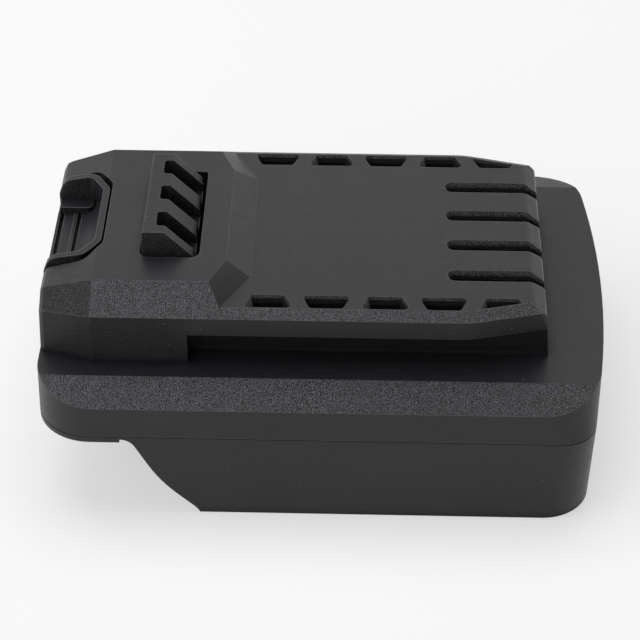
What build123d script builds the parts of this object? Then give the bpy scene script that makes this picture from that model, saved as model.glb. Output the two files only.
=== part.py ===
from build123d import *
from math import atan, cos, degrees, radians, sin
import os

# Overall size, in millimetres, with the origin at the middle of the underside
body_length = 107.7
body_width = 80.0
body_height = 46.85
end_bow = 3.4
left_corner_radius = 10.4
right_corner_radius = 7.0
left_corner_growth = 1.0
right_corner_growth = 5.4

# Heights of the outer steps; the lower walls take what the others leave
rim_height = 6.8
shoulder_rise = 2.15
rail_gap = 6.5
plate_thickness = 5.0
hump_rise = 2.95
hook_rise = 4.85
upper_height = rim_height + shoulder_rise + rail_gap + plate_thickness + hump_rise + hook_rise

# Levels that follow from those heights
parting_z = body_height - upper_height
rim_z = parting_z + rim_height
flange_z = rim_z + shoulder_rise
plate_under_z = flange_z + rail_gap
deck_z = plate_under_z + plate_thickness
hump_z = deck_z + hump_rise
left_x = -body_length / 2
right_x = body_length / 2

# Walls, clearances and the overrun of cuts
shell_wall = 2.0
outer_wall = 2.6
foot_inset = 0.4
foot_shift = 0.32
foot_growth_share = 0.5
seam_gap = 0.15
seam_step = 0.15
quarter_turn = 90
fit_gap = 0.3
overrun = 5.0

# Rim flange and its sloped shoulders
flange_flat_width = 65.5

# Rail deck
deck_width = 56.8
pedestal_width = 48.6
pedestal_wall = 2.0
deck_setback = 12.35
deck_edge_run = 2.2
deck_edge_drop = 1.15
deck_skin = 1.8
deck_taper_length = 14.2
deck_taper_inset = 3.7
deck_taper_radius = 14.0
deck_low_corner_radius = 0.8
deck_high_corner_radius = 4.0
deck_end_run = 2.6
deck_end_drop = 1.9
deck_end_top_radius = 2.0
deck_end_low_radius = 1.2
deck_end_flare = 0.75
deck_right_x = right_x - deck_setback
deck_side_z = deck_z - deck_edge_drop
mouth_bevel = 0.5
mouth_bevel_depth = 1.5

# Full height block at the left end, and the hump on it
block_length = 28.2
block_end_taper = 10.25
nose_length = 1.8
nose_steps = 3
hump_length = 35.0
hump_top_width = 44.4
ramp_run = 4.6
facet_width = 30.6
facet_back = 2.9
facet_run = 2.2
facet_spread = 1.25
rail_start_x = left_x + block_length
taper_x = left_x + block_end_taper
nose_x = left_x + nose_length
ramp_x = left_x + hump_length

# The block narrows and drops towards the left end: lengths lost at the nose, then at the end face
nose_foot_inset = 2.55
nose_side_inset = 3.4
nose_side_drop = 1.45
nose_top_inset = 0.9
nose_top_drop = 2.35
end_foot_inset = 3.65
end_side_inset = 5.75
end_side_drop = 3.05
end_top_inset = 2.7
end_top_drop = 5.4
nose_loss = (nose_foot_inset, nose_side_inset, nose_side_drop, nose_top_inset, nose_top_drop)
end_loss = (end_foot_inset, end_side_inset, end_side_drop, end_top_inset, end_top_drop)

# Coring pockets along both edges of the deck
pocket_start = 43.2
pocket_pitch = 10.96
pocket_long = 9.55
pocket_short = 6.2
pocket_margin = 2.35
pocket_width = 4.0
pocket_depth = 3.6
pocket_corner_radius = 0.9

# Terminal slots in the deck
slot_count = 4
slot_pitch = 9.96
slot_width = 3.5
slot_length = 18.55
slot_depth = 9.0
slot_start_x = deck_right_x - slot_length

# Latch window in the hump and button notch in the left end
window_offset = 18.5
window_length = 11.35
window_width = 29.4
window_near_radius = 1.9
window_far_radius = 0.6
window_x = left_x + window_offset
notch_length = 11.25
notch_width = 30.4
notch_cut_length = 3.1
notch_cut_width = 5.0
notch_corner_radius = 2.8

# Battery bay in the lower shell
tray_edge = 1.2
tongue_rise = 0.8
bay_width = 60.0
mouth_width = 53.0
lip_height = 3.2
guide_wall = 1.8
side_floor = 2.0
side_pocket_length = 66.0
side_pocket_end = 5.0
ramp_top_offset = 17.85
ramp_knee_share = 0.448
ramp_upper_run_share = 0.5194
ramp_lower_run_share = 1.0256
ramp_top_radius = 3.0
ramp_knee_radius_share = 1.6092
ramp_foot_radius_share = 0.34483
relief_width = 1.9
relief_height = 0.7
catch_offset = 21.5
catch_length = 7.5
catch_width = 22.0
tray_under_z = parting_z - tray_edge
ramp_knee_z = tray_under_z * ramp_knee_share
ramp_knee_radius = tray_under_z * ramp_knee_radius_share
ramp_foot_radius = tray_under_z * ramp_foot_radius_share
tray_top_z = parting_z + tongue_rise
foot_edge_radius = 0.3

# Case screws: two rows of long ones from below, two short ones at the left end
screw_radius = 1.4
screw_hole_play = 0.05
screw_head_radius = 2.6
screw_head_height = 2.0
screw_head_play = 0.25
screw_clearance = 0.2
screw_recess = 0.4
boss_radius = 3.0
long_screw_side_inset = 5.6
long_screw_inset = 11.5
long_screw_spacing = 52.0
long_seat_height = 5.0
short_screw_inset = 9.0
short_screw_side_inset = 8.5
short_boss_radius = 4.0
short_boss_rise = 2.2
screw_end_gap = 0.8
cross_slot_length = 3.2
cross_slot_width = 0.8
cross_slot_depth = 0.9

# Circuit board on its posts
board_length = 50.0
board_width = 40.0
board_thickness = 1.6
board_lift = 2.0
board_right_offset = 9.0
board_post_radius = 2.6
board_screw_inset = 4.0
board_screw_radius = 1.1
board_screw_length = 5.0
board_head_radius = 2.1
board_head_height = 1.3
board_z = tray_top_z + board_lift
board_top_z = board_z + board_thickness
board_right_x = right_x - board_right_offset
board_left_x = board_right_x - board_length
resistor_length = 3.2
resistor_width = 1.6
resistor_height = 0.9
resistor_spacing = 5.0
resistor_offset = 16.0

# Comb that holds the tool side clips
carrier_length = 14.2
carrier_base = 2.2
carrier_back = 1.8
carrier_rib = 1.2
carrier_top_gap = 0.4
carrier_start_gap = 0.8
carrier_x = slot_start_x + carrier_start_gap

# Forked clips for the tool's blades
clip_sheet = 0.6
clip_length = 12.0
clip_height = 7.5
clip_back_width = 4.6
clip_throat = 0.9
clip_mouth = 3.4
clip_throat_share = 0.78
clip_top_gap = 3.0
clip_tail_width = 2.0
clip_tail_depth = 0.8
clip_top_z = deck_z - clip_top_gap

# Block and blades for the battery
blade_count = 4
blade_pitch = 9.0
blade_thickness = 0.8
blade_height = 5.5
blade_reach = 17.0
blade_drop = 1.9
blade_tip = 1.2
blade_tail = 2.4
blade_rear_gap = 3.0
block_depth = 8.0
block_body_length = 10.0
block_body_width = 37.0
block_right_offset = 14.0
block_bevel = 1.2
blade_fit = 0.05
tail_play = 0.3
block_right_x = right_x - block_right_offset
block_left_x = block_right_x - block_body_length
blade_top_z = tray_under_z - blade_drop

# Latch hook, seen in the window
hook_left_gap = 0.45
hook_right_gap = 0.95
hook_end_gap = 1.2
hook_flat = 4.25
hook_lean = 0.1
hook_fin_count = 3
hook_fin_pitch = 8.9
hook_cut_width = 4.75
hook_solid = 2.65
hook_cut_drop = 2.6
hook_cut_radius = 0.7
hook_stop_lip = 1.8
hook_stop_height = 3.0
hook_edge_radius = 0.55
hook_bend_radius = 0.25
hook_foot_radius = 0.8

# Arm that joins hook and button
arm_height = 3.0
arm_width = 26.0
arm_drop = 9.0
arm_bottom_z = hump_z - arm_drop
arm_top_z = arm_bottom_z + arm_height
stop_gap = 0.3

# Thumb button in the notch
button_end_gap = 0.5
button_side_gap = 1.25
button_drop = 0.4
button_rim = 1.3
button_slope_length = 6.15
button_slope_drop = 0.9
button_slope_radius = 5.0
button_nose_run = 1.2
button_nose_drop = 4.0
button_nose_radius = 2.6
button_lip_drop = 6.9
button_scoop_radius = 5.2
button_wall = 1.6
curtain_overlap = 1.2
button_groove_count = 2
button_groove_start = 0.55
button_groove_pitch = 3.4
button_groove_width = 0.75
button_groove_depth = 1.1
button_ridge_width = 0.7
button_ridge_height = 0.2
button_bar_start = 0.35
button_bar_end = 6.9
button_bar_width = 3.3
button_bar_height = 1.45
button_bar_radius = 1.2
button_top_z = hump_z - button_drop

# Coil springs under the arm
spring_radius = 2.7
spring_wire = 0.7
spring_turns = 5.5
spring_wire_sides = 8
spring_offset = 8.5
spring_peg_radius = 1.9
spring_peg_height = 3.0
spring_x_offset = 13.6
spring_x = left_x + spring_x_offset


def rim_outline(inset=0, growth=0):
    half_width = body_width / 2
    shoulder_x = right_x - end_bow
    corners = [(left_x, half_width), (left_x, -half_width), (shoulder_x, -half_width)]
    sides = Polyline((shoulder_x, half_width), *corners)
    bow = ThreePointArc((shoulder_x, -half_width), (right_x, 0), (shoulder_x, half_width))
    outline = make_face(Wire([*sides.edges(), bow.edge()]))
    left_corners = outline.vertices().group_by(Axis.X)[0]
    outline = fillet(left_corners, left_corner_radius + growth * left_corner_growth)
    right_corners = [v for v in outline.vertices() if abs(v.X - shoulder_x) < seam_gap]
    outline = fillet(right_corners, right_corner_radius + growth * right_corner_growth)
    if inset > 0:
        outline = offset(outline, amount=-inset)
    return outline


def prism(outline, low_z, high_z):
    return extrude(Pos(0, 0, low_z) * outline, amount=high_z - low_z)


def block(low, high):
    size = [high[i] - low[i] for i in range(3)]
    middle = [(high[i] + low[i]) / 2 for i in range(3)]
    return Pos(*middle) * Box(*size)


def plan_block(low, high):
    size = [high[i] - low[i] for i in range(2)]
    middle = [(high[i] + low[i]) / 2 for i in range(2)]
    return Pos(*middle) * Rectangle(*size)


def across(points, low_x, high_x):
    profile = Plane.YZ.offset(low_x) * make_face(Polyline(*points, close=True))
    return extrude(profile, amount=high_x - low_x)


def along(outline, half_width):
    return extrude(Plane.XZ * outline, amount=half_width, both=True)


def flange_section(wall=0):
    # The slope keeps its angle, so a wall inside it stays parallel
    half_flat = flange_flat_width / 2
    half_width = body_width / 2 - wall
    section = [
        (-half_width, parting_z - wall), (half_width, parting_z - wall),
        (half_width, rim_z - wall), (half_flat, flange_z - wall),
        (-half_flat, flange_z - wall), (-half_width, rim_z - wall),
    ]
    return across(section, left_x, right_x)


def flange():
    # The corners grow rounder from the seam up to the top, and a small step marks the seam
    step_z = parting_z + seam_step
    seam = Pos(0, 0, step_z) * rim_outline()
    top = Pos(0, 0, flange_z) * rim_outline(growth=1)
    body = loft([seam, top], ruled=True) & flange_section()
    return body + prism(rim_outline(seam_step), parting_z, step_z)


def flange_hollow():
    return prism(rim_outline(shell_wall, 1), parting_z - shell_wall, flange_z) & flange_section(shell_wall)


def block_face(x, half_foot, half_side, side_z, half_top, top_z, foot_z):
    points = [
        (-half_foot, foot_z), (half_foot, foot_z), (half_side, side_z),
        (half_top, top_z), (-half_top, top_z), (-half_side, side_z),
    ]
    return Plane.YZ.offset(x) * make_face(Polyline(*points, close=True))


def end_block(wall=0):
    half = deck_width / 2 - wall
    half_top = hump_top_width / 2 - wall / 2
    side_z = deck_side_z - wall / 2
    top_z = hump_z - wall
    foot_z = flange_z - (overrun if wall > 0 else shoulder_rise)
    full = block_face(taper_x, half, half, side_z, half_top, top_z, foot_z)
    # From the nose to the end face the block rounds over in a quarter of an ellipse
    faces = [full]
    for i in range(1 if wall > 0 else nose_steps + 1):
        turn = radians(quarter_turn * i / nose_steps)
        share = 1 - cos(turn)
        foot_loss, side_loss, side_fall, top_loss, top_fall = [
            near + share * (far - near) for near, far in zip(nose_loss, end_loss)]
        x = left_x + wall if wall > 0 else nose_x - nose_length * sin(turn)
        faces.append(block_face(
            x, half - foot_loss, half - side_loss, side_z - side_fall,
            half_top - top_loss, top_z - top_fall, foot_z))
    straight = extrude(full, amount=rail_start_x - wall - taper_x)
    for near, far in zip(faces[:-1], faces[1:]):
        straight += loft([far, near], ruled=True)
    return straight


def hump(wall=0):
    drop = (hump_z - deck_side_z) / hump_rise
    half_side = deck_width / 2 - wall
    half_top = hump_top_width / 2 - wall
    half_facet = facet_width / 2
    foot_x = ramp_x + ramp_run * drop - wall
    foot_half = half_facet + facet_spread * drop
    side_x = ramp_x - facet_back + facet_run * drop - wall
    top_x = ramp_x - wall
    foot = [
        (taper_x, -half_side), (side_x, -half_side), (foot_x, -foot_half),
        (foot_x, foot_half), (side_x, half_side), (taper_x, half_side),
    ]
    top = [
        (taper_x, -half_top), (top_x - facet_back, -half_top), (top_x, -half_facet),
        (top_x, half_facet), (top_x - facet_back, half_top), (taper_x, half_top),
    ]
    low = Pos(0, 0, deck_side_z - wall) * make_face(Polyline(*foot, close=True))
    high = Pos(0, 0, hump_z - wall) * make_face(Polyline(*top, close=True))
    return loft([low, high], ruled=True)


def deck_outline(extra=0):
    half = deck_width / 2
    taper_start = deck_right_x - deck_taper_length
    end_x = deck_right_x + extra
    half_end = half - deck_taper_inset * (end_x - taper_start) / deck_taper_length
    points = [
        (rail_start_x, -half), (taper_start, -half), (end_x, -half_end),
        (end_x, half_end), (taper_start, half), (rail_start_x, half),
    ]
    outline = make_face(Polyline(*points, close=True))
    bends = [v for v in outline.vertices() if abs(v.X - taper_start) < seam_gap]
    return fillet(bends, deck_taper_radius)


def rail_deck():
    # The upper edge is bevelled along both sides by the same run and drop
    outline = deck_outline(overrun)
    plate = prism(outline, plate_under_z, deck_side_z)
    bevel = degrees(atan(deck_edge_run / deck_edge_drop))
    plate += extrude(Pos(0, 0, deck_side_z) * outline, amount=deck_edge_drop, taper=bevel)
    # The corners at the open end are rounder at the top than at the bottom
    end = deck_outline(deck_end_flare)
    corners = end.vertices().group_by(Axis.X)[-1]
    low_end = Pos(0, 0, plate_under_z) * fillet(corners, deck_low_corner_radius)
    high_end = Pos(0, 0, deck_z) * fillet(corners, deck_high_corner_radius)
    return plate & loft([low_end, high_end], ruled=True)


def deck_end():
    # In side view the end flares down to the flange, and the deck rolls over into it
    low_z = flange_z - shoulder_rise
    flare_x = deck_right_x + deck_end_flare
    start_x = deck_right_x - deck_end_run
    end_z = deck_z - deck_end_drop
    left = rail_start_x - shell_wall
    sides = make_face(Polyline(
        (start_x, deck_z), (deck_right_x, end_z), (flare_x, flange_z), (flare_x, low_z),
        (left, low_z), (left, deck_z), close=True))
    for x, z, radius in (
            (start_x, deck_z, deck_end_top_radius), (deck_right_x, end_z, deck_end_low_radius)):
        sides = fillet(sides.vertices().sort_by_distance((x, z, 0))[0], radius)
    return along(sides, deck_width)


def pedestal():
    half = pedestal_width / 2
    low = (rail_start_x - shell_wall, -half, flange_z - shoulder_rise)
    return block(low, (deck_right_x + overrun, half, plate_under_z + shell_wall))


def sunk(outline, depth):
    # The upper part of the walls slopes in, and below it they are upright
    slope = degrees(atan(mouth_bevel / mouth_bevel_depth))
    mouth = extrude(Pos(0, 0, deck_z) * outline, amount=mouth_bevel_depth, dir=(0, 0, -1), taper=slope)
    return mouth + prism(offset(outline, amount=-mouth_bevel), deck_z - depth, deck_z)


def coring_pockets():
    # The pockets alternate like the gaps of a truss, as many as the deck holds before its taper ends
    outer = deck_width / 2 - pocket_margin
    inner = outer - pocket_width
    field = offset(deck_outline(), amount=-pocket_margin)
    last_x = deck_right_x - deck_taper_length / 2
    middle = left_x + pocket_start
    wide_outside = True
    cuts = []
    while middle < last_x:
        outer_half = (pocket_long if wide_outside else pocket_short) / 2
        inner_half = (pocket_short if wide_outside else pocket_long) / 2
        points = [
            (middle - outer_half, outer), (middle + outer_half, outer),
            (middle + inner_half, inner), (middle - inner_half, inner),
        ]
        pocket = make_face(Polyline(*points, close=True))
        pocket = fillet(pocket.vertices(), pocket_corner_radius) & field
        cuts.append(sunk(pocket, pocket_depth))
        cuts.append(mirror(cuts[-1], Plane.XZ))
        middle += pocket_pitch
        wide_outside = not wide_outside
    return cuts


def terminal_slots():
    radius = slot_width / 2
    length = slot_length - radius + overrun
    start = slot_start_x + radius
    cuts = []
    for i in range(slot_count):
        y = (i - (slot_count - 1) / 2) * slot_pitch
        mouth = Pos(start + length / 2, y) * Rectangle(length, slot_width) + Pos(start, y) * Circle(radius)
        cuts.append(sunk(mouth, slot_depth))
    return cuts


def notch_outline(end_gap=0, side_gap=0):
    half = notch_width / 2 - side_gap
    right = left_x + notch_length - end_gap
    points = [
        (left_x - overrun, -half), (right - notch_cut_length, -half), (right, notch_cut_width - half),
        (right, half - notch_cut_width), (right - notch_cut_length, half), (left_x - overrun, half),
    ]
    outline = make_face(Polyline(*points, close=True))
    corners = [v for v in outline.vertices() if v.X > left_x]
    return fillet(corners, notch_corner_radius)


def window_outline():
    box = Rectangle(window_length, window_width)
    box = fillet(box.vertices().group_by(Axis.Y)[-1], window_far_radius)
    box = fillet(box.vertices().group_by(Axis.Y)[0], window_near_radius)
    return Pos(window_x + window_length / 2, 0) * box


def long_screw_places():
    first_x = right_x - long_screw_inset
    y = body_width / 2 - long_screw_side_inset
    return [(first_x - i * long_screw_spacing, side * y) for i in (0, 1) for side in (-1, 1)]


def short_screw_places():
    y = body_width / 2 - short_screw_side_inset
    return [(left_x + short_screw_inset, side * y) for side in (-1, 1)]


def make_upper_shell():
    rail = (rail_deck() + pedestal()) & deck_end()
    shell = flange() + end_block() + hump() + rail
    half_lower = pedestal_width / 2 - pedestal_wall
    half_upper = deck_width / 2 - pocket_margin - pocket_width - shell_wall
    left = rail_start_x - shell_wall
    right = deck_right_x - shell_wall
    shell -= flange_hollow()
    shell -= end_block(shell_wall)
    shell -= block((left, -half_lower, rim_z - overrun), (right, half_lower, plate_under_z - fit_gap))
    shell -= block((left, -half_upper, rim_z - overrun), (right, half_upper, deck_z - deck_skin))
    hump_right = window_x + window_length + fit_gap
    shell -= block((left, -half_upper, deck_z - overrun), (hump_right, half_upper, hump_z - shell_wall))
    shell -= coring_pockets()
    shell -= terminal_slots()
    shell -= prism(window_outline(), deck_z - overrun, hump_z + overrun)
    shell -= prism(notch_outline(), flange_z, hump_z + overrun)
    for x, y in long_screw_places():
        shell += boss(x, y, tray_top_z + seam_gap)
    for x, y in short_screw_places():
        shell += boss(x, y, tray_top_z + short_boss_rise + seam_gap)
    return shell


def post(x, y, radius, low_z, high_z):
    return prism(Pos(x, y) * Circle(radius), low_z, high_z)


def boss(x, y, low_z):
    # It hangs from the flange and takes a screw from below
    body = post(x, y, boss_radius, low_z, flange_z) & flange()
    return body - post(x, y, screw_radius + screw_hole_play, low_z, rim_z - shell_wall)


def ramp_cut():
    # The side walls stop short of the left end in a rounded ramp behind a small relief
    top_x = left_x + ramp_top_offset
    top_z = tray_under_z + relief_height
    knee_x = top_x + (top_z - ramp_knee_z) * ramp_upper_run_share
    foot_x = knee_x + ramp_knee_z * ramp_lower_run_share
    relief_x = top_x - relief_width
    points = [
        (left_x - overrun, tray_under_z), (relief_x, tray_under_z), (relief_x, top_z), (top_x, top_z),
        (knee_x, ramp_knee_z), (foot_x, 0), (foot_x, -overrun), (left_x - overrun, -overrun),
    ]
    outline = make_face(Polyline(*points, close=True))
    for x, z, radius in (
            (top_x, top_z, ramp_top_radius), (knee_x, ramp_knee_z, ramp_knee_radius),
            (foot_x, 0, ramp_foot_radius)):
        corner = outline.vertices().sort_by_distance((x, z, 0))[0]
        outline = fillet(corner, radius)
    return along(outline, body_width)


def make_lower_shell():
    # The walls draw in towards the foot, more at the right end than along the sides
    seam = Pos(0, 0, parting_z) * rim_outline()
    foot = Pos(-foot_shift, 0) * rim_outline(foot_inset, foot_growth_share)
    walls = loft([foot, seam], ruled=True)
    walls = fillet(walls.faces().sort_by(Axis.Z)[0].edges(), foot_edge_radius)
    shell = walls + prism(rim_outline(shell_wall + seam_gap, 1), tray_under_z, tray_top_z)
    shell -= ramp_cut()
    inside = prism(rim_outline(outer_wall + seam_gap), -overrun, tray_under_z)
    half_bay = bay_width / 2
    half_mouth = mouth_width / 2
    bay = block((left_x, -half_bay, lip_height), (right_x, half_bay, tray_under_z))
    mouth = block((left_x, -half_mouth, -overrun), (right_x, half_mouth, lip_height))
    open_end = block((left_x - overrun, -half_bay, lip_height), (0, half_bay, tray_under_z))
    shell -= (bay + mouth) & inside
    shell -= open_end
    shell -= block((left_x - overrun, -half_mouth, -overrun), (0, half_mouth, lip_height))
    high_z = tray_top_z + overrun
    pocket_right_x = right_x - side_pocket_end
    pocket_left_x = pocket_right_x - side_pocket_length
    for side in (-1, 1):
        edges = sorted((side * (half_bay + guide_wall), side * body_width / 2))
        pocket = block((pocket_left_x, edges[0], side_floor), (pocket_right_x, edges[1], high_z))
        shell -= pocket & prism(rim_outline(outer_wall + seam_gap), side_floor, high_z)
    hole = screw_radius + screw_clearance
    head_hole = screw_head_radius + screw_head_play
    for x, y in long_screw_places():
        shell += post(x, y, boss_radius, side_floor, tray_top_z)
        shell -= post(x, y, hole, -overrun, high_z)
        shell -= post(x, y, head_hole, -overrun, long_seat_height)
    seat_z = tray_under_z + screw_recess + screw_head_height
    for x, y in short_screw_places():
        shell += post(x, y, short_boss_radius, tray_under_z, tray_top_z + short_boss_rise)
        shell -= post(x, y, hole, tray_under_z, high_z)
        shell -= post(x, y, head_hole, tray_under_z - overrun, seat_z)
    catch_low = (left_x + catch_offset, -catch_width / 2, tray_under_z - overrun)
    shell -= block(catch_low, (catch_low[0] + catch_length, catch_width / 2, high_z))
    for x, y in board_screw_places():
        shell += post(x, y, board_post_radius, tray_under_z, board_z)
        shell -= post(x, y, board_screw_radius + screw_hole_play, tray_under_z + tray_edge, board_z)
    for y in blade_places():
        shell -= prism(tail_outline(y, tail_play), tray_under_z - overrun, high_z)
    for y in (-spring_offset, spring_offset):
        shell += post(spring_x, y, spring_peg_radius, tray_under_z, tray_top_z + spring_peg_height)
    return shell


def board_screw_places():
    left = board_left_x + board_screw_inset
    half = board_width / 2 - board_screw_inset
    return [(left, -half), (left, half), (board_right_x - board_screw_inset / 2, 0)]


def blade_places():
    return [(i - (blade_count - 1) / 2) * blade_pitch for i in range(blade_count)]


def clip_places():
    return [(i - (slot_count - 1) / 2) * slot_pitch for i in range(slot_count)]


def tail_outline(y, play=0):
    x = block_right_x - blade_rear_gap - blade_tail / 2
    return Pos(x, y) * Rectangle(blade_tail + 2 * play, blade_thickness + 2 * play)


def clip_tail_outline(y, play=0):
    x = carrier_x + carrier_back + clip_sheet / 2
    return Pos(x, y) * Rectangle(clip_sheet + 2 * play, clip_tail_width + 2 * play)


def make_circuit_board():
    half = board_width / 2
    board = block((board_left_x, -half, board_z), (board_right_x, half, board_top_z))
    for x, y in board_screw_places():
        board -= post(x, y, board_screw_radius + screw_clearance, board_z, board_top_z)
    for y in blade_places():
        board -= prism(tail_outline(y, tail_play), board_z, board_top_z)
    for y in clip_places():
        board -= prism(clip_tail_outline(y, tail_play), board_z, board_top_z)
    return board


def make_id_resistors():
    x = board_left_x + resistor_offset
    parts = []
    for i in (-1, 0, 1):
        y = i * resistor_spacing
        low = (x, y - resistor_width / 2, board_top_z)
        high = (x + resistor_length, y + resistor_width / 2, board_top_z + resistor_height)
        parts.append(block(low, high))
    return Compound(parts)


def make_terminal_carrier():
    # Two end walls and a rib between each pair of clips
    half = clip_places()[-1] + clip_back_width / 2 + fit_gap + carrier_rib
    top_z = deck_z - shell_wall - carrier_top_gap
    right = carrier_x + carrier_length
    comb = block((carrier_x, -half, board_top_z), (right, half, board_top_z + carrier_base))
    comb += block((carrier_x, -half, board_top_z), (carrier_x + carrier_back, half, top_z))
    rib_places = [y + slot_pitch / 2 for y in clip_places()[:-1]]
    for y in (carrier_rib / 2 - half, *rib_places, half - carrier_rib / 2):
        comb += block((carrier_x, y - carrier_rib / 2, board_top_z), (right, y + carrier_rib / 2, top_z))
    for y in clip_places():
        comb -= prism(clip_tail_outline(y, tail_play), board_top_z, board_top_z + carrier_base)
    return comb


def clip_half(sheet):
    # One leaf in plan, from the mouth over the throat to the closed back
    x = carrier_x + carrier_back
    half_back = clip_back_width / 2 - clip_sheet + sheet
    return [
        (x + clip_length, clip_mouth / 2 + sheet),
        (x + clip_length * clip_throat_share, clip_throat / 2 + sheet),
        (x + clip_back_width / 2, half_back), (x + clip_sheet - sheet, half_back / 2),
    ]


def clip_outline(sheet):
    near = clip_half(sheet)
    far = [(x, -y) for x, y in reversed(near)]
    return make_face(Polyline(*near, *far, close=True))


def make_contact_clip(y):
    # Two springy leaves run from a closed back to a narrow throat and flare at the mouth
    fork = clip_outline(clip_sheet) - clip_outline(0)
    clip = prism(Pos(0, y) * fork, clip_top_z - clip_height, clip_top_z)
    foot_z = board_top_z - clip_tail_depth
    return clip + prism(clip_tail_outline(y), foot_z, clip_top_z - clip_height / 2)


def make_blade_block():
    half = block_body_width / 2
    low_z = tray_under_z - block_depth
    body = block((block_left_x, -half, low_z), (block_right_x, half, tray_under_z))
    front = body.faces().sort_by(Axis.X)[0]
    body = chamfer(front.edges().sort_by(Axis.Z)[0], block_bevel)
    for y in blade_places():
        half_slot = blade_thickness / 2 + blade_fit
        slot_end_x = block_right_x - blade_rear_gap + blade_fit
        low = (block_left_x - overrun, y - half_slot, blade_top_z - blade_height - blade_fit)
        body -= block(low, (slot_end_x, y + half_slot, blade_top_z + blade_fit))
        body -= prism(tail_outline(y, blade_fit), blade_top_z - blade_fit, tray_under_z)
    return body


def make_battery_blade(y):
    tip_x = block_left_x - blade_reach
    rear_x = block_right_x - blade_rear_gap
    low_z = blade_top_z - blade_height
    high_z = board_top_z
    outline = make_face(Polyline(
        (tip_x, low_z), (rear_x, low_z), (rear_x, high_z), (rear_x - blade_tail, high_z),
        (rear_x - blade_tail, blade_top_z), (tip_x, blade_top_z), close=True))
    tips = outline.vertices().group_by(Axis.X)[0]
    outline = chamfer(tips, blade_tip)
    return Pos(0, y, 0) * along(outline, blade_thickness / 2)


def make_screw(x, y, seat_z, end_z, radius, head_radius, head_height, up=1):
    shank = prism(Circle(radius), min(seat_z, end_z), max(seat_z, end_z))
    head_end_z = seat_z - up * head_height
    head = prism(Circle(head_radius), min(seat_z, head_end_z), max(seat_z, head_end_z))
    cut_z = head_end_z + up * cross_slot_depth
    cross = Rectangle(cross_slot_length, cross_slot_width) + Rectangle(cross_slot_width, cross_slot_length)
    cut = prism(cross, min(head_end_z, cut_z), max(head_end_z, cut_z))
    return Pos(x, y) * (shank + head - cut)


def make_case_screws():
    end_z = rim_z - shell_wall - screw_end_gap
    head = (screw_radius, screw_head_radius, screw_head_height)
    screws = [make_screw(x, y, long_seat_height, end_z, *head) for x, y in long_screw_places()]
    seat_z = tray_under_z + screw_recess + screw_head_height
    screws += [make_screw(x, y, seat_z, end_z, *head) for x, y in short_screw_places()]
    return Compound(screws)


def make_board_screws():
    head = (board_screw_radius, board_head_radius, board_head_height)
    end_z = board_top_z - board_screw_length + screw_end_gap
    screws = [make_screw(x, y, board_top_z, end_z, *head, up=-1) for x, y in board_screw_places()]
    return Compound(screws)


def make_latch_hook():
    left = window_x + hook_left_gap
    right = window_x + window_length - hook_right_gap
    half = window_width / 2 - hook_end_gap
    top_z = hump_z + hook_rise
    flat_end = left + hook_lean + hook_flat
    # The slope falls at 45 degrees from the flat top to the right face
    foot_z = top_z - (right - flat_end)
    outline = make_face(Polyline(
        (left, arm_top_z), (right, arm_top_z), (right, foot_z), (flat_end, top_z),
        (left + hook_lean, top_z), (left, hump_z), close=True))
    for x, z, radius in (
            (right, foot_z, hook_foot_radius), (flat_end, top_z, hook_bend_radius),
            (left + hook_lean, top_z, hook_edge_radius)):
        outline = fillet(outline.vertices().sort_by_distance((x, z, 0))[0], radius)
    hook = along(outline, half)
    for i in range(hook_fin_count):
        y = (i - (hook_fin_count - 1) / 2) * hook_fin_pitch
        length = right + overrun - left - hook_solid
        cut = Rectangle(length, hook_cut_width)
        cut = fillet(cut.vertices().group_by(Axis.X)[0], hook_cut_radius)
        cut = Pos(left + hook_solid + length / 2, y) * cut
        hook -= prism(cut, hump_z - hook_cut_drop, top_z + overrun)
    # Lips under the shell stop the hook on its way up
    stop_z = hump_z - shell_wall - stop_gap
    half_stop = window_width / 2 + hook_stop_lip
    low = (window_x - hook_stop_lip, -half_stop, stop_z - hook_stop_height)
    hook += block(low, (right, half_stop, stop_z))
    hook += block((left, -half, arm_bottom_z), (right, half, arm_top_z + hook_stop_height / 2))
    arm_left = left_x + notch_length - button_end_gap
    hook += block((arm_left, -arm_width / 2, arm_bottom_z), (left + hook_flat, arm_width / 2, arm_top_z))
    return hook


def button_body():
    # In side view the rim slopes down towards the left end and rolls over
    right = left_x + notch_length - button_end_gap
    slope_x = left_x + button_slope_length
    nose_x_low = left_x + button_nose_run
    nose_z = button_top_z - button_slope_drop
    outline = make_face(Polyline(
        (left_x, arm_bottom_z), (right, arm_bottom_z), (right, button_top_z), (slope_x, button_top_z),
        (nose_x_low, nose_z), (left_x, button_top_z - button_nose_drop), close=True))
    for x, z, radius in (
            (slope_x, button_top_z, button_slope_radius), (nose_x_low, nose_z, button_nose_radius)):
        outline = fillet(outline.vertices().sort_by_distance((x, z, 0))[0], radius)
    side = notch_outline(button_end_gap, button_side_gap)
    return prism(side, arm_bottom_z, button_top_z) & along(outline, notch_width)


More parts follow.
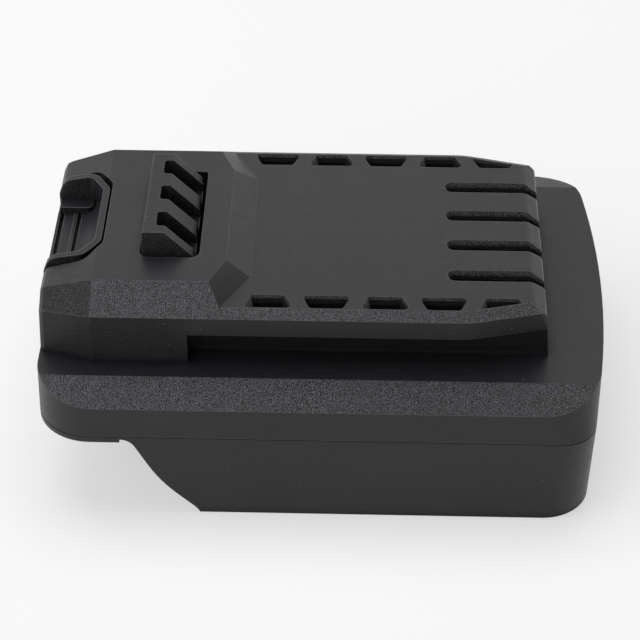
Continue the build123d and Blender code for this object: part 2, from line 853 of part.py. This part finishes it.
def make_release_button():
    right = left_x + notch_length - button_end_gap - button_rim
    lip_z = hump_z - button_lip_drop
    # The thumb scoop is a trough that breaks out of the left end and curves up on the right
    inner = offset(notch_outline(button_end_gap, button_side_gap), amount=-button_rim)
    trough = make_face(Polyline(
        (left_x - overrun, lip_z), (right, lip_z), (right, button_top_z + overrun),
        (left_x - overrun, button_top_z + overrun), close=True))
    trough = fillet(trough.vertices().sort_by_distance((right, lip_z, 0))[0], button_scoop_radius)
    body = button_body() - (prism(inner, lip_z, button_top_z + overrun) & along(trough, notch_width))
    # Grip grooves with a low ridge before each, between two raised bars
    half = notch_width / 2 - button_side_gap - button_rim
    half_grip = half - button_bar_width
    for i in range(button_groove_count):
        x = left_x + button_groove_start + i * button_groove_pitch
        ridge_x = max(left_x, x - button_ridge_width)
        body += block((ridge_x, -half_grip, lip_z), (x, half_grip, lip_z + button_ridge_height))
        low = (x, -half_grip, lip_z - button_groove_depth)
        body -= block(low, (x + button_groove_width, half_grip, lip_z + button_ridge_height))
    bar_x = left_x + button_bar_start
    for side in (-1, 1):
        edges = sorted((side * half_grip, side * (half + fit_gap)))
        bar = plan_block((bar_x, edges[0]), (left_x + button_bar_end, edges[1]))
        tip = bar.vertices().sort_by_distance((left_x + button_bar_end, side * half_grip, 0))[0]
        body += prism(fillet(tip, button_bar_radius), lip_z - button_wall / 2, lip_z + button_bar_height)
    # A curtain behind the end wall closes the notch under the button
    curtain_x = left_x + shell_wall + fit_gap
    low = (curtain_x, -half, flange_z - curtain_overlap)
    return body + block(low, (curtain_x + button_wall, half, arm_bottom_z + button_wall))


def make_latch_spring(y):
    height = arm_bottom_z - tray_top_z - spring_wire
    pitch = height / spring_turns
    path = Helix(pitch=pitch, height=height, radius=spring_radius)
    start = path @ 0
    wire = Plane(origin=start, z_dir=path % 0) * RegularPolygon(spring_wire / 2, spring_wire_sides)
    coil = sweep(wire, path=path)
    return Pos(spring_x, y, tray_top_z + spring_wire / 2) * coil


def save(name, shape):
    export_step(shape, os.path.join("parts", name + ".step"))


os.makedirs("parts", exist_ok=True)
save("upper_shell", make_upper_shell())
save("lower_shell", make_lower_shell())
save("circuit_board", make_circuit_board())
save("id_resistors", make_id_resistors())
save("terminal_carrier", make_terminal_carrier())
for number, place in enumerate(clip_places(), start=1):
    save(f"contact_clip_{number}", make_contact_clip(place))
save("blade_block", make_blade_block())
for number, place in enumerate(blade_places(), start=1):
    save(f"battery_blade_{number}", make_battery_blade(place))
save("case_screws", make_case_screws())
save("board_screws", make_board_screws())
save("latch_hook", make_latch_hook())
save("release_button", make_release_button())
save("latch_spring_front", make_latch_spring(-spring_offset))
save("latch_spring_back", make_latch_spring(spring_offset))
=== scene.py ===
import bpy
import math
from mathutils import Matrix, Vector


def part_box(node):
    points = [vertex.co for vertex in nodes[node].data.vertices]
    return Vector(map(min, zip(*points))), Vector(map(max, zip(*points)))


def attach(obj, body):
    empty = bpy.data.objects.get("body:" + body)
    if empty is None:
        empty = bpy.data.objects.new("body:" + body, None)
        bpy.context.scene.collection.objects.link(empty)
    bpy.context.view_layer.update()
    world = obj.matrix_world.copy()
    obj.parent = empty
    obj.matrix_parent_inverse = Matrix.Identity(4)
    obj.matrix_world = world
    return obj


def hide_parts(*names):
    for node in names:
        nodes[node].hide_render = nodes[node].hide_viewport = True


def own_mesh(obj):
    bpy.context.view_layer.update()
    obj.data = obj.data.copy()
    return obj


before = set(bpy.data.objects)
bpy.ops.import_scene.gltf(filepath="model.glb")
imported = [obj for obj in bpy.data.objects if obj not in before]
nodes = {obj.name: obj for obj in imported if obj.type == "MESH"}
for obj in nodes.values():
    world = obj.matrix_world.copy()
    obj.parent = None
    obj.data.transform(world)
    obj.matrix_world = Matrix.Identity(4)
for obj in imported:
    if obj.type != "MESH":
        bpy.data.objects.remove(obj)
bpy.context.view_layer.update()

# Camera, solved from the photograph's straight edges, in metres, degrees and pixels
CAMERA_PLACE = (0.007392, -0.364309, 0.293250)
CAMERA_YAW = -1.389
CAMERA_PITCH = 37.208
CAMERA_ROLL = 0.127
FOCAL_PIXELS = 2281.63
FRAME_PIXELS = 640
SENSOR_WIDTH = 36.0

# Floor and world are white where they are seen or mirrored, and dimmer in the light they give
WORLD_LEVEL = 0.12
WHITE = (1.0, 1.0, 1.0, 1.0)
FLOOR_BOUNCE = (0.6, 0.6, 0.6, 1.0)
FLOOR_SEEN = (0.5, 0.5, 0.5, 1.0)
FLOOR_GLOW = 0.52
FLOOR_HALF = 3.0

# Each lamp's place and size in metres and its power in watts
LAMP_TARGET = (0.0, 0.0, 0.03)
LAMPS = {
    "lamp_top": ((-0.1, 0.35, 1.5), (1.4, 1.2), 15),
    "lamp_left": ((-1.3, -0.2, 1.0), (1.2, 1.2), 7),
    "lamp_front": ((-0.8, -1.2, 0.8), (1.2, 1.2), 6),
}

# Where the finishes, the painted shade and the painted highlight of the shells begin and end, in metres
FLANGE_Z = 0.0276
RECESS_LOW_Z = 0.0285
PLATE_UNDER_Z = 0.0339
# Height where the painted highlight on the deck's end begins
END_HIGHLIGHT_Z = 0.0355
SLOT_TEXTURE_Z = 0.0380
POCKET_TEXTURE_Z = 0.0384
DECK_TOP_Z = 0.0390
SEAM_LOW_Z = 0.01846
SEAM_HIGH_Z = 0.01877
SLOT_HALF_WIDTH = 0.0190
RECESS_HALF_WIDTH = 0.0262
RECESS_LEFT_X = -0.0245
PEDESTAL_RIGHT_X = -0.0240
END_FACE_X = 0.0410

# The deck's taper and its rolled end: where they start, and how far they fall for each metre
TAPER_START_X = 0.0270
TAPER_SLOPE = 0.26
ROLL_START_X = 0.0389
ROLL_SLOPE = 0.73

# Over what length in metres a mask fades out
RECESS_FADE = 0.00005
SEAM_FADE = 0.00008
STEP_FADE = 0.0001
END_HIGHLIGHT_FADE = 0.0005
PEEL_FADE = 0.006

# Patterns of the plastic: cells to a metre, and depths in metres
GRAIN_SCALE = 6500.0
GRAIN_DEPTH = 0.00001
TEXTURE_SCALE = 7200.0
TEXTURE_DEPTH = 0.00008
PEEL_SCALE = 2400.0
PEEL_DEPTH = 0.00025
CLOUD_SCALE = 26.0
HANDLING_SCALE = 420.0
DUST_SCALE = 1500.0

# Gloss of the plastic in the open and deep in a cavity, lowered there as painted shade; strength of the
# painted highlight on edges; and gloss left on a recess's sides, lowered as painted shade
OPEN_GLOSS = 0.43
SHADED_CAVITY_GLOSS = 0.172
SHELL_EDGE_HIGHLIGHT = 0.28
PART_EDGE_HIGHLIGHT = 0.4
SHADED_RECESS_SIDE_SHARE = 0.69

# Patterns of metal, board and resistors: cells to a metre, and depths and lengths in metres
STREAK_SCALE = 700.0
STREAK_DEPTH = 0.000008
TARNISH_SCALE = 260.0
WEAVE_SCALE = 1600.0
WEAVE_DEPTH = 0.000006
TRACK_SCALE = 160.0
TRACK_SHARE = 0.06
TRACK_DEPTH = 0.00003
RESIST_SCALE = 300.0
BOARD_EDGE = 0.00008
GLAZE_SCALE = 4200.0
GLAZE_DEPTH = 0.00001
GLAZE_EDGE = 0.00006
TINNED_LENGTH = 0.0006
TINNED_FADE = 0.00005

# Clean and tarnished metals
CONTACT_BRIGHT = (0.78, 0.74, 0.62, 1)
CONTACT_DULL = (0.60, 0.52, 0.36, 1)
SCREW_BRIGHT = (0.42, 0.42, 0.43, 1)
SCREW_DULL = (0.24, 0.23, 0.22, 1)
SPRING_BRIGHT = (0.58, 0.58, 0.59, 1)
SPRING_DULL = (0.36, 0.35, 0.34, 1)

# Green resist over bare board and over copper, and the glass at the cut edges
RESIST_DARK = (0.012, 0.075, 0.03, 1)
RESIST_LIGHT = (0.02, 0.10, 0.04, 1)
RESIST_OVER_COPPER = (0.06, 0.21, 0.07, 1)
BARE_GLASS = (0.36, 0.33, 0.16, 1)


def make_camera():
    yaw, pitch, roll = (math.radians(a) for a in (CAMERA_YAW, CAMERA_PITCH, CAMERA_ROLL))
    forward = Vector((math.sin(yaw) * math.cos(pitch), math.cos(yaw) * math.cos(pitch), -math.sin(pitch)))
    right = Vector((math.cos(yaw), -math.sin(yaw), 0))
    up = right.cross(forward)
    turned_right = right * math.cos(roll) + up * math.sin(roll)
    turned_up = up * math.cos(roll) - right * math.sin(roll)
    data = bpy.data.cameras.new("camera")
    data.sensor_width = SENSOR_WIDTH
    data.lens = FOCAL_PIXELS / FRAME_PIXELS * SENSOR_WIDTH
    camera = bpy.data.objects.new("camera", data)
    axes = Matrix((turned_right, turned_up, -forward)).transposed()
    camera.matrix_world = Matrix.Translation(CAMERA_PLACE) @ axes.to_4x4()
    bpy.context.scene.collection.objects.link(camera)
    bpy.context.scene.camera = camera


class Graph:
    """Short calls that add shader nodes to a tree and join them."""

    def __init__(self, tree):
        self.tree = tree

    def add(self, kind, inputs=None, **values):
        node = self.tree.nodes.new(kind)
        for key, value in values.items():
            setattr(node, key, value)
        for key, value in (inputs or {}).items():
            self.feed(node.inputs[key], value)
        return node

    def feed(self, socket, value):
        if isinstance(value, bpy.types.NodeSocket):
            self.tree.links.new(value, socket)
        else:
            socket.default_value = value

    def math(self, operation, a, b=0.0):
        return self.add("ShaderNodeMath", {0: a, 1: b}, operation=operation).outputs[0]

    def times(self, first, *others):
        """The product of all, which for masks is where they overlap."""
        for other in others:
            first = self.math("MULTIPLY", first, other)
        return first

    def size(self, value):
        return self.math("ABSOLUTE", value)

    def above(self, value, limit):
        return self.math("GREATER_THAN", value, limit)

    def below(self, value, limit):
        return self.math("LESS_THAN", value, limit)

    def ramp(self, value, low, high, to_low=0.0, to_high=1.0):
        inputs = {"Value": value, "From Min": low, "From Max": high, "To Min": to_low, "To Max": to_high}
        return self.add("ShaderNodeMapRange", inputs).outputs[0]

    def band(self, value, low, high, soft):
        """1 between low and high, 0 outside, with soft ends."""
        return self.times(self.ramp(value, low - soft, low), self.ramp(value, high + soft, high))

    def dimmed(self, value, mask, share):
        """The value, brought down to a share of itself where the mask is 1."""
        return self.times(value, self.ramp(mask, 0.0, 1.0, 1.0, share))

    def mix(self, share, a, b):
        node = self.add("ShaderNodeMix", data_type="RGBA")
        self.feed(node.inputs[0], share)
        self.feed(node.inputs[6], a)
        self.feed(node.inputs[7], b)
        return node.outputs[2]

    def seen_directly(self):
        rays = self.add("ShaderNodeLightPath").outputs
        seen = self.math("MAXIMUM", rays["Is Camera Ray"], rays["Is Glossy Ray"])
        return self.math("MAXIMUM", seen, rays["Is Transmission Ray"])


class Surface(Graph):
    """A material whose patterns lie in the model's own metres."""

    def __init__(self, name):
        self.material = bpy.data.materials.new(name)
        self.material.use_nodes = True
        super().__init__(self.material.node_tree)
        self.shader = self.tree.nodes["Principled BSDF"]
        coordinates = self.add("ShaderNodeTexCoord").outputs
        self.place = coordinates["Object"]
        self.axes = self.split(coordinates["Object"])
        self.turn = self.split(coordinates["Normal"])

    def split(self, vector):
        return self.add("ShaderNodeSeparateXYZ", {0: vector}).outputs

    def stretched(self, scale):
        return self.add("ShaderNodeMapping", {"Vector": self.place, "Scale": scale}).outputs[0]

    def noise(self, scale, detail=2.0, rough=0.5, place=None):
        inputs = {"Vector": place or self.place, "Scale": scale, "Detail": detail, "Roughness": rough}
        return self.add("ShaderNodeTexNoise", inputs).outputs["Fac"]

    def rounded(self, radius):
        return self.add("ShaderNodeBevel", {"Radius": radius}, samples=8).outputs[0]

    def open_share(self, distance):
        """1 where nothing stands within the distance, less in corners and recesses."""
        return self.add("ShaderNodeAmbientOcclusion", {"Distance": distance}, samples=8).outputs["AO"]

    def outer_rounded(self, radius):
        """The rounded normal on outer edges, and the plain one in inner corners."""
        flat = self.add("ShaderNodeNewGeometry").outputs["Normal"]
        node = self.add("ShaderNodeMix", data_type="VECTOR")
        self.feed(node.inputs[0], self.ramp(self.open_share(radius * 3), 0.8, 0.95))
        self.feed(node.inputs[4], flat)
        self.feed(node.inputs[5], self.rounded(radius))
        return node.outputs[1]

    def edge_mask(self, rounded):
        """1 along sharp edges: how far the rounded normal turns from the face."""
        flat = self.add("ShaderNodeNewGeometry").outputs["Normal"]
        dot = self.add("ShaderNodeVectorMath", {0: rounded, 1: flat}, operation="DOT_PRODUCT")
        return self.ramp(dot.outputs["Value"], 0.998, 0.96)

    def bump(self, height, distance, normal):
        inputs = {"Height": height, "Distance": distance, "Strength": 1.0, "Normal": normal}
        return self.add("ShaderNodeBump", inputs).outputs[0]

    def set(self, **values):
        for key, value in values.items():
            self.feed(self.shader.inputs[key.replace("_", " ")], value)


def gray(level, blue=0.0):
    return (level, level * (1.0 - blue * 0.4), level * (1.0 + blue), 1.0)


def moulded_plastic(name, base, rough, edge_radius, cavity, cavity_open=0.97, shell=False):
    """Black moulded plastic with a fine grain, a painted highlight along sharp edges, dust, and gloss
    lowered in cavities as painted shade.

    The gloss is full where the open share is cavity_open, measured over the length cavity.
    """
    s = Surface(name)
    rounded = s.outer_rounded(edge_radius)
    # Painted highlight: sharp edges are lightened in colour and made less rough below
    edge_mask = s.times(s.edge_mask(rounded), SHELL_EDGE_HIGHLIGHT if shell else PART_EDGE_HIGHLIGHT)
    grain = s.noise(GRAIN_SCALE, 1.0, 0.6)
    bump = s.bump(grain, GRAIN_DEPTH, rounded)
    tone = s.mix(s.ramp(grain, 0.35, 0.65), gray(base * 0.6, 0.1), gray(base * 1.4, 0.15))
    level = s.ramp(s.noise(HANDLING_SCALE, 4.0, 0.6), 0.3, 0.7, rough - 0.04, rough + 0.05)
    cloud = s.ramp(s.noise(CLOUD_SCALE, 3.0, 0.5), 0.3, 0.7, 0.93, 1.05)
    # Painted shade: gloss drops where the ambient occlusion finds corners and recesses
    shine = s.times(s.ramp(s.open_share(cavity), 0.35, cavity_open, SHADED_CAVITY_GLOSS, OPEN_GLOSS), cloud)
    if shell:
        texture = shell_texture(s)
        coarse = s.noise(TEXTURE_SCALE, 1.0, 0.6)
        wall = pedestal_wall(s)
        peel = s.noise(PEEL_SCALE, 4.0, 0.7)
        bump = s.bump(s.times(s.ramp(coarse, 0.35, 0.65), texture), TEXTURE_DEPTH, bump)
        bump = s.bump(s.times(peel, wall), PEEL_DEPTH, bump)
        tone = textured_tone(s, tone, texture, coarse)
        level = s.math("ADD", level, s.times(texture, 0.08))
        shine = shell_gloss(s, shine, texture)
        shine = s.dimmed(shine, s.times(s.ramp(peel, 0.6, 0.4), wall), 0.7)
        # The painted highlight also runs along the deck's rolled end
        edge_mask = s.math("MAXIMUM", edge_mask, end_highlight(s))
    else:
        flecks = s.times(s.ramp(grain, 0.5, 0.6), s.ramp(s.size(s.turn["Y"]), 0.85, 0.9))
        tone = s.mix(flecks, tone, gray(0.06, 0.05))
    # Painted highlight: the colour is lighter along sharp edges
    tone = s.mix(edge_mask, tone, gray(0.3, 0.03))
    dust = s.times(s.ramp(s.noise(DUST_SCALE, 1.0, 0.5), 0.80, 0.83), 0.6)
    tone = s.mix(dust, tone, gray(0.25))
    s.set(Base_Color=tone, Normal=bump, Specular_IOR_Level=shine)
    s.set(Roughness=s.math("SUBTRACT", level, s.times(edge_mask, 0.1)))
    return s.material


def textured_tone(s, tone, texture, coarse):
    """Black pits and lighter peaks, the peaks partly a painted glint; the peaks are fainter on slopes that
    face left, as painted shade, and fainter toward the right end.
    """
    tone = s.mix(texture, tone, gray(0.004, 0.1))
    shade_on_left_slopes = s.ramp(s.turn["X"], -0.3, -0.08, 0.5, 1.0)
    along = s.ramp(s.axes["X"], -0.01, 0.05, 1.0, 0.75)
    # Lighter peaks of the texture, partly a painted glint
    peaks_and_glints = s.times(s.ramp(coarse, 0.52, 0.55), texture, shade_on_left_slopes, along)
    return s.mix(peaks_and_glints, tone, gray(0.18, 0.06))


def shell_gloss(s, shine, texture):
    """Painted shade as less gloss in recesses, on the hump's front facet and on left slopes; less gloss
    also in the seam and toward the right end.
    """
    # Painted shade: textured slopes that face left get less gloss
    shaded_left_slopes = s.times(texture, s.ramp(s.turn["X"], -0.08, -0.3))
    # Painted shade on the hump's near facet, which faces away from the light
    shaded_facet = s.times(s.band(s.turn["X"], 0.42, 0.9, 0.03), s.ramp(s.turn["Y"], -0.2, -0.3))
    shaded_facet = s.times(shaded_facet, s.ramp(s.turn["Z"], 0.4, 0.45))
    seam = s.band(s.axes["Z"], SEAM_LOW_Z, SEAM_HIGH_Z, SEAM_FADE)
    seam = s.times(seam, s.ramp(s.size(s.turn["X"]), 0.05, 0.5, 0.35, 1.0))
    shine = s.times(shine, s.ramp(s.axes["X"], -0.02, 0.05, 1.0, 0.92))
    # Each mask brings the gloss down to its share: painted shade in recesses, on the facet and on left
    # slopes
    for mask, share in ((shaded_left_slopes, 0.6), (shell_recess(s), 0.13), (shaded_facet, 0.35), (seam, 0.15)):
        shine = s.dimmed(shine, mask, share)
    return shine


def pedestal_wall(s):
    """1 on the upright walls of the hump, left of the rail grooves, whose skin is rougher."""
    left = s.ramp(s.axes["X"], PEDESTAL_RIGHT_X, PEDESTAL_RIGHT_X - PEEL_FADE)
    height = s.band(s.axes["Z"], FLANGE_Z, DECK_TOP_Z, STEP_FADE)
    return s.times(left, height, s.ramp(s.size(s.turn["Z"]), 0.5, 0.4))


def end_highlight(s):
    """1 on the upper part of the deck's end, where a painted highlight runs along the rolled edge."""
    high_up = s.ramp(s.axes["Z"], END_HIGHLIGHT_Z, END_HIGHLIGHT_Z + END_HIGHLIGHT_FADE)
    return s.times(s.band(s.turn["X"], 0.9, 0.985, 0.05), high_up)


def deck_level(s):
    """The height of a point, counted as if the deck's end didn't roll over."""
    past = s.math("MAXIMUM", s.math("SUBTRACT", s.axes["X"], ROLL_START_X), 0.0)
    return s.math("ADD", s.axes["Z"], s.times(past, ROLL_SLOPE))


def shell_recess(s):
    """1 on the plain ends of slots and pockets, and less on their sides and in the rail grooves: where the
    gloss is dimmed as painted shade.
    """
    out = s.size(s.axes["Y"])
    groove = s.band(s.axes["Z"], RECESS_LOW_Z, PLATE_UNDER_Z, RECESS_FADE)
    groove = s.times(groove, s.ramp(out, RECESS_HALF_WIDTH + STEP_FADE, RECESS_HALF_WIDTH))
    past = s.math("MAXIMUM", s.math("SUBTRACT", s.axes["X"], TAPER_START_X), 0.0)
    tapered = s.math("ADD", out, s.times(past, TAPER_SLOPE))
    plain_end = s.times(s.ramp(s.size(s.turn["Y"]), 0.35, 0.3), s.below(s.axes["X"], ROLL_START_X))
    level = deck_level(s)
    level_top = s.ramp(plain_end, 0.0, 1.0, POCKET_TEXTURE_Z, DECK_TOP_Z)
    mouth = s.ramp(tapered, RECESS_HALF_WIDTH + STEP_FADE, RECESS_HALF_WIDTH)
    mouth = s.times(mouth, s.above(level, PLATE_UNDER_Z), s.below(level, level_top))
    end_face = s.times(s.above(s.turn["X"], 0.7), s.above(s.axes["X"], END_FACE_X))
    right_of_hump = s.ramp(s.axes["X"], RECESS_LEFT_X, RECESS_LEFT_X + STEP_FADE)
    upright = s.ramp(s.size(s.turn["Z"]), 0.95, 0.9)
    inside = s.times(s.math("MAXIMUM", groove, mouth), s.math("SUBTRACT", 1.0, end_face))
    return s.times(inside, right_of_hump, upright, s.ramp(plain_end, 0.0, 1.0, SHADED_RECESS_SIDE_SHARE, 1.0))


def shell_texture(s):
    """1 on the sloped sides of hump, deck and flange and on the sloped mouths of slots and pockets."""
    side = s.size(s.turn["Y"])
    slopes = s.times(s.band(side, 0.2, 0.7, 0.03), s.ramp(s.turn["Z"], 0.6, 0.65))
    slopes = s.times(slopes, s.ramp(s.turn["X"], 0.42, 0.38))
    out = s.size(s.axes["Y"])
    level = deck_level(s)
    low_z = s.ramp(out, SLOT_HALF_WIDTH, SLOT_HALF_WIDTH + STEP_FADE, SLOT_TEXTURE_Z, POCKET_TEXTURE_Z)
    depth = s.times(s.above(level, low_z), s.below(level, DECK_TOP_Z))
    rolled = s.times(s.above(s.axes["X"], ROLL_START_X), s.below(out, SLOT_HALF_WIDTH), s.above(side, 0.7))
    walls = s.math("MAXIMUM", s.band(s.turn["Z"], 0.25, 0.4, 0.03), rolled)
    return s.math("MAXIMUM", slopes, s.times(walls, depth))


def plated_metal(name, color, tarnish, rough, stretch, edge_radius):
    """Plated sheet or wire: drawing streaks along one way, duller clouds and brighter edges."""
    s = Surface(name)
    streaks = s.noise(STREAK_SCALE, 3.0, 0.6, s.stretched(stretch))
    cloud = s.ramp(s.noise(TARNISH_SCALE, 4.0, 0.6), 0.4, 0.7)
    rounded = s.rounded(edge_radius)
    tone = s.mix(s.times(cloud, 0.45), color, tarnish)
    tone = s.mix(s.times(s.edge_mask(rounded), 0.4), tone, gray(0.85))
    s.set(Base_Color=tone, Metallic=1.0, Normal=s.bump(streaks, STREAK_DEPTH, rounded))
    s.set(Roughness=s.ramp(s.math("ADD", streaks, cloud), 0.5, 1.5, rough - 0.06, rough + 0.14))
    return s.material


def circuit_board():
    """Green solder resist over a woven sheet, with raised copper tracks and bare glass at the edges."""
    s = Surface("board")
    weave = s.add("ShaderNodeTexChecker", {"Vector": s.place, "Scale": WEAVE_SCALE}).outputs["Fac"]
    grid = {"Vector": s.place, "Scale": TRACK_SCALE, "Mortar Size": TRACK_SHARE}
    tracks = s.add("ShaderNodeTexBrick", grid).outputs["Fac"]
    copper = s.times(tracks, s.ramp(s.turn["Z"], 0.4, 0.6))
    edge = s.ramp(s.size(s.turn["Z"]), 0.6, 0.4)
    tone = s.mix(s.ramp(s.noise(RESIST_SCALE, 3.0), 0.3, 0.7), RESIST_DARK, RESIST_LIGHT)
    tone = s.mix(s.times(copper, 0.7), tone, RESIST_OVER_COPPER)
    tone = s.mix(edge, tone, BARE_GLASS)
    bump = s.bump(weave, WEAVE_DEPTH, s.bump(copper, TRACK_DEPTH, s.rounded(BOARD_EDGE)))
    s.set(Base_Color=tone, Normal=bump, Roughness=s.ramp(edge, 0.0, 1.0, 0.28, 0.7))
    return s.material


def chip_resistor():
    """A dark glazed body, tinned at the outer ends of the row."""
    s = Surface("component")
    low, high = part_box("id_resistors")
    left_end = low[0] + TINNED_LENGTH
    right_end = high[0] - TINNED_LENGTH
    left = s.ramp(s.axes["X"], left_end, left_end - TINNED_FADE)
    right = s.ramp(s.axes["X"], right_end, right_end + TINNED_FADE)
    end = s.math("MAXIMUM", left, right)
    grain = s.noise(GLAZE_SCALE, 3.0, 0.6)
    tone = s.mix(s.ramp(grain, 0.35, 0.65), gray(0.018), gray(0.03))
    tone = s.mix(end, tone, gray(0.62))
    s.set(Base_Color=tone, Metallic=end, Roughness=s.ramp(end, 0.0, 1.0, 0.45, 0.32))
    s.set(Normal=s.bump(grain, GLAZE_DEPTH, s.rounded(GLAZE_EDGE)))
    return s.material


def dress(material, *names):
    for name in names:
        data = nodes[name].data
        data.materials.clear()
        data.materials.append(material)


def dress_plastics():
    housing = moulded_plastic("housing_black", 0.012, 0.42, edge_radius=0.0002, cavity=0.002, shell=True)
    latch = moulded_plastic("latch_black", 0.013, 0.42, edge_radius=0.0002, cavity=0.013, cavity_open=1.25)
    terminal = moulded_plastic("terminal_plastic", 0.012, 0.45, edge_radius=0.0001, cavity=0.004)
    dress(housing, "upper_shell", "lower_shell")
    dress(latch, "latch_hook", "release_button")
    dress(terminal, "terminal_carrier", "blade_block")


def dress_metals():
    contact = plated_metal("contact_metal", CONTACT_BRIGHT, CONTACT_DULL, 0.3, (1, 14, 14), 0.0001)
    screw = plated_metal("screw_steel", SCREW_BRIGHT, SCREW_DULL, 0.32, (6, 6, 1), 0.00012)
    spring = plated_metal("spring_steel", SPRING_BRIGHT, SPRING_DULL, 0.25, (1, 1, 14), 0.00005)
    dress(contact, *[name for name in nodes if name.startswith(("contact_clip", "battery_blade"))])
    dress(screw, "case_screws", "board_screws")
    dress(spring, "latch_spring_front", "latch_spring_back")


def make_spring(node_name):
    """A copy of the coil, fixed to the housing and shown in place of the hidden node."""
    coil = bpy.data.objects.new("coil_" + node_name, nodes[node_name].data.copy())
    bpy.context.scene.collection.objects.link(coil)
    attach(coil, "housing")
    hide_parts(node_name)
    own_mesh(coil)


def make_light(name, place, size, power):
    data = bpy.data.lights.new(name, "AREA")
    data.shape = "RECTANGLE"
    data.size, data.size_y = size
    data.energy = power
    light = bpy.data.objects.new(name, data)
    light.location = place
    direction = Vector(LAMP_TARGET) - Vector(place)
    light.rotation_euler = direction.to_track_quat("-Z", "Y").to_euler()
    light.visible_glossy = False
    bpy.context.scene.collection.objects.link(light)


def make_floor():
    mesh = bpy.data.meshes.new("floor")
    half = FLOOR_HALF
    corners = [(-half, -half, 0), (half, -half, 0), (half, half, 0), (-half, half, 0)]
    mesh.from_pydata(corners, [], [(0, 1, 2, 3)])
    floor = bpy.data.objects.new("floor", mesh)
    bpy.context.scene.collection.objects.link(floor)
    s = Surface("floor_white")
    seen = s.seen_directly()
    s.set(Base_Color=s.mix(seen, FLOOR_BOUNCE, FLOOR_SEEN), Roughness=0.9, Specular_IOR_Level=0.0)
    s.set(Emission_Color=WHITE, Emission_Strength=s.times(seen, FLOOR_GLOW))
    mesh.materials.append(s.material)


def make_world():
    world = bpy.data.worlds.new("studio")
    bpy.context.scene.world = world
    world.use_nodes = True
    g = Graph(world.node_tree)
    background = g.tree.nodes["Background"]
    background.inputs["Color"].default_value = WHITE
    g.feed(background.inputs["Strength"], g.ramp(g.seen_directly(), 0.0, 1.0, WORLD_LEVEL, 1.0))


make_camera()
make_world()
make_floor()
for name, values in LAMPS.items():
    make_light(name, *values)

dress_plastics()
dress_metals()
dress(circuit_board(), "circuit_board")
dress(chip_resistor(), "id_resistors")

for name in ("latch_spring_front", "latch_spring_back"):
    make_spring(name)

bpy.context.scene.view_settings.view_transform = "Standard"
